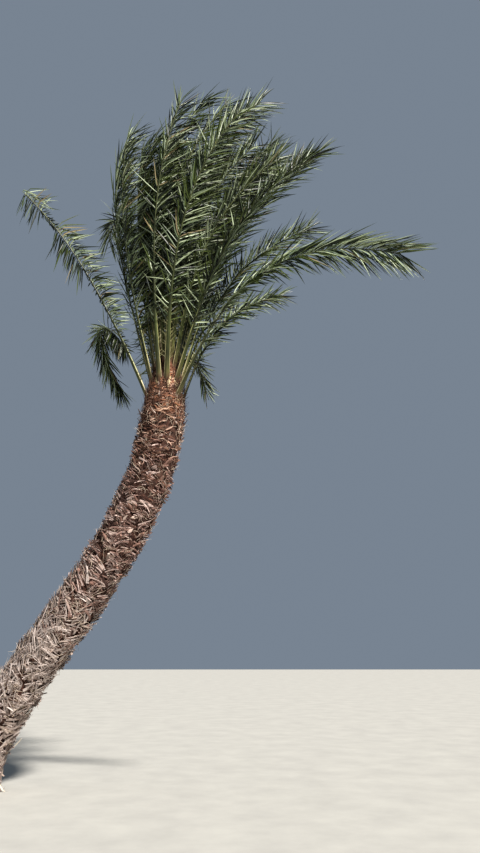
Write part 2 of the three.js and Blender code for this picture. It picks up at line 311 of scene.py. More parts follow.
def grained(name, dark, light, scale, roughness, relief, stretch=(1, 1, 1), source="Object"):
    """A finish with fine grain: two colours mixed by noise, and the same noise as relief."""
    material = bpy.data.materials.new(name)
    material.use_nodes = True
    tree = material.node_tree
    shader = tree.nodes["Principled BSDF"]
    shader.inputs["Roughness"].default_value = roughness
    place = node(tree, "ShaderNodeTexCoord")
    spread = node(tree, "ShaderNodeMapping", Scale=stretch)
    noise = node(
        tree, "ShaderNodeTexNoise", Scale=scale, Detail=GRAIN_DETAIL, Roughness=GRAIN_ROUGHNESS
    )
    ramp = node(tree, "ShaderNodeValToRGB")
    ramp.color_ramp.elements[0].position = DARK_UP_TO
    ramp.color_ramp.elements[0].color = linear(dark)
    ramp.color_ramp.elements[1].position = LIGHT_FROM
    ramp.color_ramp.elements[1].color = linear(light)
    bump = node(tree, "ShaderNodeBump", Strength=RELIEF_STRENGTH, Distance=relief)
    tree.links.new(place.outputs[source], spread.inputs["Vector"])
    tree.links.new(spread.outputs["Vector"], noise.inputs["Vector"])
    tree.links.new(noise.outputs["Fac"], ramp.inputs["Fac"])
    tree.links.new(ramp.outputs["Color"], shader.inputs["Base Color"])
    tree.links.new(noise.outputs["Fac"], bump.inputs["Height"])
    tree.links.new(bump.outputs["Normal"], shader.inputs["Normal"])
    return material


def streaked(name, dark, light, roughness, relief):
    """A finish whose grain runs along each small piece, as in wood, bast and blades."""
    return grained(name, dark, light, 1.0, roughness, relief, STREAKS, "UV")


def weathered(name, pale, middling, dark):
    """The three finishes of a band's strips, each from its dark and its light colour."""
    return [
        streaked(f"{name}_pale", *pale, 0.85, 0.002),
        streaked(name, *middling, 0.9, 0.002),
        streaked(f"{name}_dark", *dark, 0.9, 0.002),
    ]


def shaded_along(name, stops, scale, roughness, relief):
    """A stalk's finish: its colour changes with its share of the length, under fine grain."""
    material = grained(name, "8c8c8c", "ffffff", scale, roughness, relief, (1, 1, 0.25))
    tree = material.node_tree
    shader = tree.nodes["Principled BSDF"]
    grain = shader.inputs["Base Color"].links[0].from_socket
    share = node(tree, "ShaderNodeAttribute", attribute_name="share")
    ramp = node(tree, "ShaderNodeValToRGB")
    for i, (position, colour) in enumerate(stops):
        stop = ramp.color_ramp.elements[i] if i < 2 else ramp.color_ramp.elements.new(position)
        stop.position = position
        stop.color = linear(colour)
    mix = node(tree, "ShaderNodeMix", data_type="RGBA", blend_type="MULTIPLY")
    mix.inputs["Factor"].default_value = 1
    tree.links.new(share.outputs["Fac"], ramp.inputs["Fac"])
    tree.links.new(ramp.outputs["Color"], mix.inputs[6])
    tree.links.new(grain, mix.inputs[7])
    tree.links.new(mix.outputs[2], shader.inputs["Base Color"])
    return material


def woven(name, dark, light, threads, relief):
    """Burlap-like sheath cloth: two sets of threads that cross, over blotches."""
    material = grained(name, dark, light, 22.0, 0.95, relief)
    tree = material.node_tree
    place = node(tree, "ShaderNodeTexCoord")
    bump = tree.nodes["Bump"]
    crossed = node(tree, "ShaderNodeMath", operation="MAXIMUM")
    for i, lean in enumerate((THREAD_LEAN, -THREAD_LEAN)):
        turned = node(tree, "ShaderNodeMapping", Rotation=(0, 0, lean), Scale=(1, 0.6, 1))
        wave = node(tree, "ShaderNodeTexWave", Scale=threads, Distortion=3.0, Detail=2.0)
        tree.links.new(place.outputs["UV"], turned.inputs["Vector"])
        tree.links.new(turned.outputs["Vector"], wave.inputs["Vector"])
        tree.links.new(wave.outputs["Fac"], crossed.inputs[i])
    tree.links.new(crossed.outputs["Value"], bump.inputs["Height"])
    return material


# The trunk as a table along its middle line.
def trunk_centre(z):
    """The middle line at a height: up from the foot, then over to the right and the front."""
    part = np.clip(np.asarray(z) / LEAN_TOP, 0, 1)
    lean = 1 - (1 - part**FOOT_BEND) ** NECK_BEND
    return np.stack([LEAN_RIGHT * lean, -LEAN_FRONT * lean, z + 0 * part], axis=-1)


def trunk_radius(z):
    """The radius at a height: flared at the foot, and closed from the neck to the tip."""
    radius = TRUNK_RADIUS + FLARE * np.exp(-np.asarray(z) / FLARE_HEIGHT)
    closed = np.clip((z - NECK_START) / (TRUNK_HEIGHT - NECK_START), 0, 1)
    return np.maximum(TIP_RADIUS, radius * (1 - closed) ** NECK_TAPER)


def unit(vectors):
    """Vectors brought to a length of 1."""
    return vectors / np.linalg.norm(vectors, axis=-1, keepdims=True)


LINE_ROWS = 1200
LINE_HEIGHTS = np.linspace(0, TRUNK_HEIGHT, LINE_ROWS)
LINE_PLACES = trunk_centre(LINE_HEIGHTS)
LINE_REACH = np.append(0, np.cumsum(np.linalg.norm(np.diff(LINE_PLACES, axis=0), axis=1)))
LINE_ALONG = unit(np.gradient(LINE_PLACES, axis=0))
TRUNK_REACH = LINE_REACH[-1]


def read(table, at, keys):
    """A table of vectors read between its rows."""
    return np.stack([np.interp(at, keys, table[:, i]) for i in range(3)], axis=-1)


def reach_of(z):
    """How far along the middle line a height is."""
    return np.interp(z, LINE_HEIGHTS, LINE_REACH)


def height_of(reach):
    """The height at a reach along the middle line."""
    return np.interp(reach, LINE_REACH, LINE_HEIGHTS)


def outward(reach, angle):
    """The way out of the trunk at a reach along it and an angle round it, as an azimuth."""
    along = unit(read(LINE_ALONG, reach, LINE_REACH))
    back = unit(np.cross(along, RIGHT))
    right = np.cross(back, along)
    return right * np.cos(angle)[..., None] + back * np.sin(angle)[..., None]


def on_trunk(reach, angle, out):
    """The place on the trunk's skin, that far out of it."""
    radius = trunk_radius(height_of(reach)) + out
    place = read(LINE_PLACES, reach, LINE_REACH) + outward(reach, angle) * radius[..., None]
    place[..., 2] = np.maximum(place[..., 2], 0)
    return place


# Pieces.
def show(name, mesh, material, nodes):
    """A finished piece that stands for these solids of the frame."""
    mesh.materials.append(material)
    piece = add(name, mesh)
    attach(piece, "root")
    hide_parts(*nodes)
    return piece


def drawn(rings, lengths):
    """Many closed pieces, each drawn through its rings: places (n, m, k, 3) to corners, faces and
    the reading of each face's corners round and along the piece."""
    n, m, k = rings.shape[:3]
    number = np.arange(n * m * k).reshape(n, m, k)
    after = np.roll(number, -1, axis=2)
    walls = np.stack([number[:, :-1], after[:, :-1], after[:, 1:], number[:, 1:]], axis=-1)
    feet = number[:, 0, ::-1]
    heads = number[:, -1]
    turn = np.broadcast_to(np.arange(k) / k, (n, m, k))
    along = np.broadcast_to(lengths[:, :, None], (n, m, k))
    low = np.stack([turn[:, :-1], along[:, :-1]], axis=-1)
    high = np.stack([turn[:, 1:], along[:, 1:]], axis=-1)
    step = np.array([1 / k, 0])
    readings = np.stack([low, low + step, high + step, high], axis=-2)
    ends = np.zeros((n, k, 2)) + lengths[:, :1, None]
    return rings.reshape(-1, 3), [
        (walls.reshape(-1, 4), readings.reshape(-1, 4, 2)),
        (feet, ends),
        (heads, ends),
    ]


def mesh_of(name, heaps, crease):
    """One mesh of several heaps of drawn pieces, smooth but for its folds."""
    places = np.concatenate([heap[0] for heap in heaps])
    starts = np.cumsum([0] + [len(heap[0]) for heap in heaps[:-1]])
    faces = [
        (corners + start, reading)
        for start, heap in zip(starts, heaps)
        for corners, reading in heap[1]
    ]
    sizes = np.concatenate([np.full(len(corners), corners.shape[1]) for corners, _ in faces])
    loops = np.concatenate([corners.ravel() for corners, _ in faces])
    mesh = bpy.data.meshes.new(name)
    mesh.vertices.add(len(places))
    mesh.vertices.foreach_set("co", places.astype(np.float32).ravel())
    mesh.loops.add(len(loops))
    mesh.loops.foreach_set("vertex_index", loops.astype(np.int32))
    mesh.polygons.add(len(sizes))
    mesh.polygons.foreach_set("loop_start", np.append(0, np.cumsum(sizes)[:-1]).astype(np.int32))
    mesh.update(calc_edges=True)
    mesh.validate()
    reading = np.concatenate([reading.reshape(-1, 2) for _, reading in faces])
    mesh.uv_layers.new(name="grain").data.foreach_set("uv", reading.astype(np.float32).ravel())
    mesh.shade_smooth()
    mesh.set_sharp_from_angle(angle=math.radians(crease))
    return mesh


def show_on_trunk(name, heap, crease, finish):
    """A finished piece of the trunk, from one heap of drawn pieces."""
    show(name, mesh_of(name, [heap], crease), finish, ["trunk"])


def ringed(places, sides, ups, widths, depths, section):
    """Rings of a section's corners round each place of each line."""
    across = sides[:, :, None] * (widths[:, :, None] * section[:, 0])[..., None]
    rise = ups[:, :, None] * (depths[:, :, None] * section[:, 1])[..., None]
    return places[:, :, None] + across + rise


def rolled(sides, ups, angle):
    """Sides and ups turned round their line by an angle."""
    turn = angle[..., None]
    return sides * np.cos(turn) + ups * np.sin(turn), ups * np.cos(turn) - sides * np.sin(turn)


def even(low, high, count):
    """Random numbers for the trunk, spread evenly."""
    return trunk_rng.uniform(low, high, count)


def near(middle, spread, count):
    """Random numbers for the trunk, gathered round a middle."""
    return trunk_rng.normal(middle, spread, count)


# The sections of small pieces, in shares of their half width and half depth.
SPLINTER = np.array([[-1, 0.1], [0, -1], [1, 0.1], [0.1, 1]])
THREAD = np.array([[-1, -0.6], [1, -0.6], [0, 1]])
STUB = np.array(
    [[-1, 0.1], [-0.7, -0.7], [0, -1], [0.7, -0.7], [1, 0.1], [0.62, 0.75], [0, 1], [-0.62, 0.75]]
)

# Strips: how far they stop short of the tip, how long their waves are, how their lift grows and
# how thick their thin end is.
STOP_SHORT = 0.02
WAVE_LENGTH = 0.012
WAVE_PHASE = 97
LIFT_GROWTH = 1.5
THIN_END = 0.4
LOWEST = 0.001
GRAIN_A_METRE = 7


def laid(
    reach, angle, heading, bend, length, width, depth, sink, lift, roll, taper, section, wave=0
):
    """Strips laid along the trunk's skin: each starts at its place, heads up the trunk or askew,
    waves from side to side and lifts off towards its end. Width and depth are halves, and taper is
    the share of them that is left along its length."""
    count = taper.shape[-1]
    u = np.linspace(0, 1, count)
    phase = (reach * WAVE_PHASE)[:, None]
    waves = wave * np.sin(phase + u * length[:, None] / WAVE_LENGTH)
    heads = heading[:, None] + bend[:, None] * u + waves
    step = length[:, None] / (count - 1)
    forward = np.cumsum(np.cos(heads) * step, axis=1) - np.cos(heads[:, :1]) * step
    round_it = np.cumsum(np.sin(heads) * step, axis=1) - np.sin(heads[:, :1]) * step
    reaches = np.clip(reach[:, None] + forward, 0, TRUNK_REACH - STOP_SHORT)
    angles = angle[:, None] + round_it / trunk_radius(height_of(reach))[:, None]
    places = on_trunk(reaches, angles, -sink[:, None] + lift[:, None] * u**LIFT_GROWTH)
    ways = unit(np.gradient(places, axis=1) + 1e-6 * UP)
    sides = unit(np.cross(outward(reaches, angles), ways))
    ups = np.cross(ways, sides)
    sides, ups = rolled(sides, ups, roll[:, None] * u)
    depths = depth[:, None] * (THIN_END + (1 - THIN_END) * taper)
    rings = ringed(places, sides, ups, width[:, None] * taper, depths, section)
    rings[..., 2] = np.maximum(rings[..., 2], LOWEST)
    return drawn(rings, reach[:, None] * GRAIN_A_METRE + u * length[:, None])


# The trunk's core: how many sides and rows it has, and how its lattice of hollows lies.
CORE_SIDES = 96
CORE_ROWS = 330
CORE_SHORT = 0.03
CORE_SINK = 0.012
LATTICE_ROUND = 8
LATTICE_UP = 38
LATTICE_DEPTH = 0.010
CORE_ROUGHNESS = 0.004
CORE_FADE = 0.7


def build_core():
    """The core that shows in the hollows between the leaf bases. Its dark colour is partly painted
    shade of the hollows.
    """
    bm = bmesh.new()
    reaches = np.linspace(0, TRUNK_REACH - CORE_SHORT, CORE_ROWS)
    angles = np.arange(CORE_SIDES) * 2 * math.pi / CORE_SIDES
    grid_reach, grid_angle = np.meshgrid(reaches, angles, indexing="ij")
    turn = LATTICE_ROUND * grid_angle
    climb = LATTICE_UP * grid_reach
    lattice = np.cos(turn + climb) * np.cos(turn - climb)
    rough = even(-1, 1, grid_reach.shape)
    fade = np.clip((TRUNK_REACH - grid_reach) / CORE_FADE, 0, 1)
    out = (-CORE_SINK + LATTICE_DEPTH * lattice + CORE_ROUGHNESS * rough) * fade
    rings = on_trunk(grid_reach, grid_angle, out)
    rings[0, :, 2] = 0
    draw_out(bm, rings, reaches)
    return closed("trunk_core", bm)


# Leaf bases, strips of sheath and threads, by the golden angle up the trunk. Weather has made
# three bands of them: grey, tan and rust-brown.
FIRST_BASE = 0.03
BASES_TOP = 4.28
BAND_BORDERS = (1.9, 3.5)
BORDER_SPREAD = 0.3
STUBS_A_BASE = 4


def base_places():
    """The reach up the trunk and the angle round it of each leaf base."""
    number = np.arange(int((reach_of(BASES_TOP) - FIRST_BASE) / BASE_PITCH))
    reach = FIRST_BASE + number * BASE_PITCH + even(-0.02, 0.02, len(number))
    angle = number * GOLDEN_ANGLE + even(-0.12, 0.12, len(number))
    return np.maximum(reach, 0.01), angle


def zones(reach):
    """Which of the three weathered bands each piece belongs to, with ragged borders."""
    z = height_of(reach) + near(0, BORDER_SPREAD, len(reach))
    return np.digitize(z, BAND_BORDERS)


def alike(taper, n):
    """The same taper for each of n pieces."""
    return np.array(taper) + np.zeros((n, 1))


def flatness(reach):
    """How far things stand off the trunk, as a share: less at the neck."""
    return np.interp(height_of(reach), [3.6, 4.1], [1, 0.3])


def scatter_stubs(reach, angle):
    """The places of the stubs round each leaf base. More of them show further up."""
    reach = np.repeat(reach, STUBS_A_BASE)
    angle = np.repeat(angle, STUBS_A_BASE) + even(-0.5, 0.5, len(reach))
    keep = trunk_rng.random(len(reach)) < np.interp(height_of(reach), [1.5, 3.3], [0.1, 0.85])
    return reach[keep] + even(0, 0.1, keep.sum()), angle[keep]


def build_stubs(reach, angle):
    """The stubs of cut leaf stalks."""
    n = len(reach)
    return laid(
        reach,
        angle,
        heading=near(0, 0.8, n),
        bend=near(0, 0.3, n),
        length=even(0.05, 0.1, n),
        width=even(0.012, 0.03, n),
        depth=even(0.006, 0.014, n),
        sink=np.full(n, 0.014),
        lift=even(0.025, 0.065, n) * flatness(reach),
        roll=near(0, 0.5, n),
        taper=np.array([1.0, 1.0, 0.92, 0.84, 0.74, 0.6]) * even(0.8, 1.15, (n, 6)),
        section=STUB,
    )


def build_chips(reach, angle):
    """The cut ends of stalks here and there on the trunk. Their paleness is partly their own colour
    and partly painted highlight where they catch the light.
    """
    keep = trunk_rng.random(len(reach)) < np.interp(height_of(reach), [1.0, 3.4], [0.2, 0.8])
    reach, angle = reach[keep], angle[keep]
    n = len(reach)
    return laid(
        np.maximum(reach + even(-0.05, 0.12, n), 0.02),
        angle + even(-0.35, 0.35, n),
        heading=near(0, 0.9, n),
        bend=near(0, 0.5, n),
        length=even(0.03, 0.08, n),
        width=even(0.008, 0.018, n),
        depth=even(0.002, 0.005, n),
        sink=np.full(n, -0.014),
        lift=even(0.004, 0.03, n),
        roll=near(0, 0.6, n),
        taper=np.array([0.5, 1.0, 0.9, 0.7, 0.3]) * even(0.7, 1.25, (n, 5)),
        section=SPLINTER,
    )


def build_strips(reach, angle):
    """Strips of torn sheath. On each leaf base they rise from both sides in nested tents over a
    dark hollow. Further up the trunk the tents lie flatter and their strips are finer. Some strips
    cross the rest at random."""
    n = len(reach) * STRIPS_A_BASE
    base = np.repeat(np.arange(len(reach)), STRIPS_A_BASE)
    hand = np.tile([1.0, -1.0], n // 2)
    nest = np.tile(np.arange(STRIPS_A_BASE) // 2 * 2 / STRIPS_A_BASE, len(reach))
    grown = even(0.75, 1.3, len(reach))[base]
    tilt = near(0, 0.32, len(reach))[base]
    proud = even(0.0, 1.0, len(reach))[base]
    z = height_of(reach[base])
    flatter = np.interp(z, [1.7, 2.7, 3.6], [0, 0.4, 0.55])
    lean = TENT_LEAN + TENT_FANNING * nest + flatter + near(0, 0.09, n)
    half = (TENT_HALF_WIDTH + TENT_GROWTH * nest) * grown
    around = hand * half + near(0, 0.006, n)
    climb = TENT_START + TENT_RISE * nest * grown
    rise = climb - half / np.tan(lean) + near(0, 0.005, n)
    fine = np.interp(z, [2.6, 3.6], [1, 0.72])
    free = trunk_rng.random(n) < CROSSING_SHARE
    heading = np.where(free, even(-1.7, 1.7, n), tilt - hand * lean)
    start = np.maximum(reach[base] + rise * np.cos(tilt) - around * np.sin(tilt), 0.005)
    turned = around * np.cos(tilt) + rise * np.sin(tilt)
    u = np.linspace(0, 1, 6)
    return {
        "reach": start,
        "angle": angle[base] + turned / trunk_radius(height_of(start)),
        "heading": heading,
        "bend": -hand * np.interp(z, [1.7, 2.6], [0.05, 0.5]) + near(0, 0.35, n),
        "length": half / np.sin(lean) * even(0.9, 1.6, n) * fine,
        "width": even(0.004, 0.01, n) * np.where(trunk_rng.random(n) < BROAD_SHARE, 1.5, 1) * fine,
        "depth": even(0.0012, 0.0024, n),
        "sink": even(-0.008, 0.008, n),
        "lift": (0.012 + 0.04 * proud) * even(0.6, 1.2, n) * flatness(reach[base]),
        "roll": near(0, 0.35, n),
        "taper": (1 - 0.45 * u**2) * even(0.75, 1.2, (n, 6)),
    }


def build_threads(reach, angle):
    """Loose threads, many lying on the trunk and some standing off it."""
    n = len(reach) * THREADS_A_BASE
    base = np.repeat(np.arange(len(reach)), THREADS_A_BASE)
    proud = trunk_rng.random(n) < PROUD_SHARE
    return {
        "reach": np.maximum(reach[base] + even(-0.06, 0.06, n), 0.005),
        "angle": angle[base] + even(-0.35, 0.35, n),
        "heading": near(0, 1.1, n),
        "bend": near(0, 1.4, n),
        "length": even(0.06, 0.15, n),
        "width": even(0.0009, 0.002, n),
        "depth": even(0.0009, 0.002, n),
        "sink": even(-0.025, 0.0, n),
        "lift": np.where(proud, even(0.03, 0.08, n), even(0, 0.02, n)),
        "roll": near(0, 1.0, n),
        "taper": alike([1.0, 0.9, 0.75, 0.5, 0.15], n),
    }


def build_spikes():
    """Dark remains of stalks that stand off the trunk in a loose collar under the neck."""
    n = SPIKES
    return laid(
        reach_of(even(3.85, 4.25, n)),
        np.arange(n) * GOLDEN_ANGLE,
        heading=near(0, 0.35, n),
        bend=near(0, 0.4, n),
        length=even(0.1, 0.22, n),
        width=even(0.006, 0.014, n),
        depth=even(0.003, 0.006, n),
        sink=np.full(n, 0.01),
        lift=even(0.03, 0.1, n),
        roll=near(0, 0.4, n),
        taper=alike([1.0, 0.95, 0.85, 0.7, 0.5, 0.12], n),
        section=SPLINTER,
    )


def build_neck_bands():
    """Wavy bands of sheath fibre that lie round the neck, over the cloth."""
    n = NECK_BANDS
    return {
        "reach": reach_of(even(3.98, 4.52, n)),
        "angle": even(0, 2 * math.pi, n),
        "heading": trunk_rng.choice([-1.0, 1.0], n) * near(1.5, 0.16, n),
        "bend": near(0, 0.3, n),
        "length": even(0.1, 0.26, n),
        "width": even(0.004, 0.009, n),
        "depth": even(0.003, 0.005, n),
        "sink": even(-0.01, 0.004, n),
        "lift": even(-0.01, 0.012, n),
        "roll": near(0, 0.5, n),
        "taper": alike(np.sin(np.linspace(0.25, math.pi - 0.1, 14)) ** 0.6, n),
    }


def build_neck_fibres():
    """Fibres that stand up between the feet of the stalks. Their near-black colour is partly
    painted shade between the stalks.
    """
    n = NECK_FIBRES
    return laid(
        reach_of(even(4.0, 4.62, n)),
        even(0, 2 * math.pi, n),
        heading=near(0, 0.3, n),
        bend=near(0, 0.5, n),
        length=even(0.1, 0.3, n),
        width=even(0.0015, 0.005, n),
        depth=even(0.001, 0.002, n),
        sink=even(-0.03, -0.005, n),
        lift=even(0.0, 0.07, n),
        roll=near(0, 0.8, n),
        taper=alike([1.0, 1.0, 0.85, 0.65, 0.4, 0.1], n),
        section=SPLINTER,
    )


# Dry straps that hang off the foot of the trunk: height, angle round it in degrees, heading from
# straight up, bend, length, half width and lift.
FOOT_STRAPS = [
    (0.42, -20, 0.25, 0.5, 0.34, 0.011, 0.09),
    (0.66, -28, 2.4, -0.9, 0.16, 0.009, 0.05),
    (0.3, -35, 2.9, 0.4, 0.2, 0.01, 0.06),
    (0.34, -62, 3.4, -0.5, 0.24, 0.008, 0.05),
    (0.22, -8, 2.6, 0.6, 0.2, 0.012, 0.07),
    (0.5, 120, 2.8, 0.5, 0.3, 0.01, 0.07),
    (0.4, 200, 3.3, -0.4, 0.26, 0.009, 0.06),
    (0.55, 255, 0.4, 0.7, 0.26, 0.009, 0.08),
]


def build_foot_straps():
    """The dry straps at the foot."""
    height, angle, heading, bend, length, width, lift = np.array(FOOT_STRAPS).T
    n = len(height)
    return laid(
        reach_of(height),
        np.radians(angle),
        heading,
        bend,
        length,
        width,
        depth=np.full(n, 0.002),
        sink=np.full(n, -0.004),
        lift=lift,
        roll=np.full(n, 0.8),
        taper=alike([0.7, 0.95, 1.0, 0.9, 0.75, 0.5, 0.1], n),
        section=SPLINTER,
    )


# Sheath cloth: one crumpled, burlap-like flap a frond, wrapped round the neck.
WRAP_COLUMNS = 44
WRAP_ROWS = 30
WRAP_HALF_ANGLE = math.radians(56)
WRAP_THICKNESS = 0.003
WRAP_HEIGHT = 0.38
FOLD_PITCH = 0.052
FOLD_DEPTH = 0.009
CREASE_PITCH = 0.023
CREASE_DEPTH = 0.003


def build_wraps(fronds):
    """The flaps of sheath cloth: ragged at the top, with round folds and finer creases."""
    bm = bmesh.new()
    cloth = bm.loops.layers.uv.new("grain")
    for frond in fronds:
        grid = bmesh.ops.create_grid(bm, x_segments=WRAP_COLUMNS, y_segments=WRAP_ROWS, size=1)
        verts = grid["verts"]
        across, rise = np.array([v.co[:2] for v in verts]).T
        rise = (rise + 1) / 2
        phase = even(0, 2 * math.pi, 4)
        ragged = 0.02 * np.sin(9 * across + phase[0]) + 0.012 * np.sin(23 * across + phase[1])
        shoulders = 0.1 * np.sin(math.pi * np.minimum(1, 1.6 * np.abs(across)))
        top = -0.045 + shoulders - 0.11 * across**4 + ragged
        reach = reach_of(frond.height - WRAP_HEIGHT + (top + WRAP_HEIGHT) * rise)
        angle = frond.azimuth + across * WRAP_HALF_ANGLE + 0.06 * np.sin(7 * rise + phase[2])
        wander = 3.2 * np.sin(2.3 * angle + phase[2])
        folds = FOLD_DEPTH * np.sin(2 * math.pi * reach / FOLD_PITCH + wander + 2 * rise)
        jitter = 3.0 * np.sin(4 * angle + phase[3])
        creases = CREASE_DEPTH * np.sin(2 * math.pi * reach / CREASE_PITCH + 9 * angle + jitter)
        out = -0.01 + 0.008 * rise + (folds + creases) * (0.4 + 0.6 * rise)
        for vert, place in zip(verts, on_trunk(reach, angle, out)):
            vert.co = place
        readings = {vert: (a, r) for vert, a, r in zip(verts, angle * 0.25, reach)}
        for face in {face for vert in verts for face in vert.link_faces}:
            for loop in face.loops:
                loop[cloth].uv = readings[loop.vert]
    mesh = meshed("neck_wraps", bm)
    mesh.shade_smooth()
    return mesh


def build_sheaths(fronds):
    """The pale foot of each outer stalk, which runs down into the fibres of the neck. Its paleness
    is partly its own colour and partly painted highlight.
    """
    n = len(fronds)
    drop = even(0.08, 0.2, n)
    return laid(
        reach_of(np.array([frond.height for frond in fronds]) - drop),
        np.array([frond.azimuth for frond in fronds]) + near(0, 0.05, n),
        heading=near(0, 0.1, n),
        bend=near(0, 0.15, n),
        length=drop + 0.05,
        width=np.array([frond.width for frond in fronds]) * 0.52,
        depth=np.full(n, 0.012),
        sink=np.full(n, 0.006),
        lift=np.full(n, 0.012),
        roll=near(0, 0.15, n),
        taper=np.array([0.2, 0.4, 0.62, 0.8, 0.95, 1.0]) * even(0.85, 1.1, (n, 6)),
        section=STUB,
    )


def picked(values, own):
    """Of each value, the part that belongs to the chosen pieces."""
    return {name: value[own] for name, value in values.items()}


# Stalks.
@dataclass
class Frond:
    """A frond in its place. Its table holds place, along, side and up at steps of the stalk."""

    name: str
    whorl: str
    spec: Spec
    azimuth: float
    height: float
    width: float
    tints: tuple
    foot: np.ndarray
    table: np.ndarray

    def at(self, share):
        """Place, along, side and up at shares of the stalk's length."""
        rows = np.clip(share, 0, 1) * STALK_STEPS
        keys = np.arange(STALK_STEPS + 1)
        columns = [np.interp(rows, keys, self.table[:, i]) for i in range(12)]
        return [np.stack(columns[i : i + 3], axis=-1) for i in (0, 3, 6, 9)]


def grow_frond(whorl_name, number, spec, whorl):
    """The line of a frond's stalk, bent over by the wind and its own weight."""
    azimuth = math.radians(spec.azimuth)
    rise = math.radians(spec.rise)
    out = np.array([math.cos(azimuth), math.sin(azimuth), 0])
    across = np.array([-math.sin(azimuth), math.cos(azimuth), 0])
    start = out * math.cos(rise) + UP * math.sin(rise)
    s = np.linspace(0, 1, STALK_STEPS + 1)[:, None]
    along = unit(start + WIND * spec.sway * s**SWAY_GROWTH - UP * spec.droop * s**DROOP_GROWTH)
    side = unit(across - along * (along @ across)[:, None])
    side, up = rolled(side, np.cross(along, side), spec.roll * np.sin(math.pi / 2 * s[:, 0]))
    step = along * spec.length / STALK_STEPS
    height = whorl.height
    place = trunk_centre(height) + out * trunk_radius(height) + np.cumsum(step, axis=0) - step
    low = height - SHEATH_DROP
    return Frond(
        name=f"frond_{whorl_name}_{number}",
        whorl=whorl_name,
        spec=spec,
        azimuth=azimuth,
        height=height,
        width=whorl.stalk_width,
        tints=WORN_TINTS if spec.ruffle > 1 else whorl.tints,
        foot=trunk_centre(low) + out * (trunk_radius(low) - SHEATH_SINK),
        table=np.hstack([place, along, side, up]),
    )


def stalk_size(frond, s):
    """A stalk's width and depth at a share of its length."""
    taper = (1 - s) ** STALK_TAPER
    width = RIB_WIDTH + (frond.width - RIB_WIDTH) * taper
    depth = RIB_DEPTH + (STALK_DEPTH - RIB_DEPTH) * taper
    return width, depth


# The stalk's section, in shares of its width and depth: round below, with a groove above.
STALK_SECTION = [
    (-0.5, 0.18), (-0.46, -0.02), (-0.3, -0.34), (0.0, -0.5), (0.3, -0.34), (0.46, -0.02),
    (0.5, 0.18), (0.4, 0.4), (0.16, 0.3), (0.0, 0.26), (-0.16, 0.3), (-0.4, 0.4),
]

# Where the rings of a stalk lie, as shares of its length: close together at the foot. Its margins
# are thin beads on its section's edges, up to a share of the length.
FOOT_SHARES = [0.0, 0.02, 0.045, 0.07]
SHEATH_SHARE = -0.04
MARGIN_ACROSS = 0.47
MARGIN_UP = 0.2
MARGIN_WIDTH = 0.085
MARGIN_DEPTH = 0.22
MARGIN_SIDES = 6
MARGIN_END = 0.48


def draw_out(bm, rings, shares, layer=None):
    """A solid drawn out from ring to ring. A layer keeps each ring's share of the length."""
    verts = bmesh.ops.create_circle(bm, cap_ends=True, segments=len(rings[0]), radius=1)["verts"]
    face = verts[0].link_faces[0]
    for ring, share in zip(rings, shares):
        if share != shares[0]:
            face = bmesh.ops.extrude_discrete_faces(bm, faces=[face])["faces"][0]
        for corner, place in zip(face.verts, ring):
            corner.co = place
            if layer:
                corner[layer] = share


def stalk_rings(frond, shares, section):
    """A section's rings along a frond's stalk."""
    places, _, sides, ups = frond.at(shares)
    line = (values[None] for values in (places, sides, ups, *stalk_size(frond, shares)))
    return ringed(*line, np.array(section))[0]


def build_stalks(fronds):
    """The grooved stalks, each from its sheath to its tip."""
    bm = bmesh.new()
    layer = bm.verts.layers.float.new("share")
    shares = np.concatenate([FOOT_SHARES, np.linspace(0.1, 1, 50)])
    for frond in fronds:
        rings = stalk_rings(frond, shares, STALK_SECTION)
        sheath = rings[0] + (frond.foot - frond.at(np.array(0.0))[0])
        draw_out(bm, [sheath, *rings], [SHEATH_SHARE, *shares], layer)
    return closed("stalks", bm, 50)


def closed(name, bm, crease=None):
    """The mesh of drawn-out solids, closed at their near ends and smooth but for their folds."""
    bmesh.ops.holes_fill(bm, edges=bm.edges[:], sides=0)
    bmesh.ops.recalc_face_normals(bm, faces=bm.faces[:])
    mesh = meshed(name, bm)
    mesh.shade_smooth()
    if crease:
        mesh.set_sharp_from_angle(angle=math.radians(crease))
    return mesh


def build_margins(fronds):
    """The pale hard edges on both sides of each stalk. Their paleness near the foot is partly their
    own colour and partly painted highlight.
    """
    bm = bmesh.new()
    layer = bm.verts.layers.float.new("share")
    shares = np.concatenate([FOOT_SHARES, np.linspace(0.1, 0.46, 16)])
    turns = np.arange(MARGIN_SIDES) * math.pi / 3
    bead = [(MARGIN_WIDTH * math.cos(a), MARGIN_DEPTH * math.sin(a)) for a in turns]
    for frond in fronds:
        for hand in (-1, 1):
            edge = (MARGIN_ACROSS * hand, MARGIN_UP)
            middle = stalk_rings(frond, shares, [edge] * MARGIN_SIDES)
            rim = stalk_rings(frond, shares, [(edge[0] + x, edge[1] + y) for x, y in bead])
            swell = rim - middle
            thin = np.clip((MARGIN_END - shares) / 0.3, 0.1, 1)[:, None, None]
            draw_out(bm, middle + swell * thin, shares, layer)
    return closed("stalk_margins", bm, 60)


# Leaflets: a blade's section, its steps and widths, and the planes that its leaflets stand in.
BLADE = np.array([[-1, 0.62], [0, -0.07], [1, 0.62], [0, 0.12]])
BLADE_STEPS = np.array([0, 0.12, 0.3, 0.54, 0.79, 1.0])
BLADE_WIDTHS = np.array([0.36, 0.76, 1.0, 0.95, 0.6, 0.03])
PLANES = np.array([-0.35, 0.25, 1.1, 0])
# Below this share of the stalk only every second leaflet grows.
SPARSE_UP_TO = 0.33
# How uneven they are in their opening in degrees, their lift and their ways, and how many are limp.
OPENING_NOISE = 9
LIFT_NOISE = 0.28
ROOT_NOISE = 0.08
END_NOISE = 0.1
LIMP_SHARE = 0.12
# A blade's width shrinks with its length and towards the frond's tip.
SHORT_WIDTH = 0.6
TIP_THINNING = 0.3
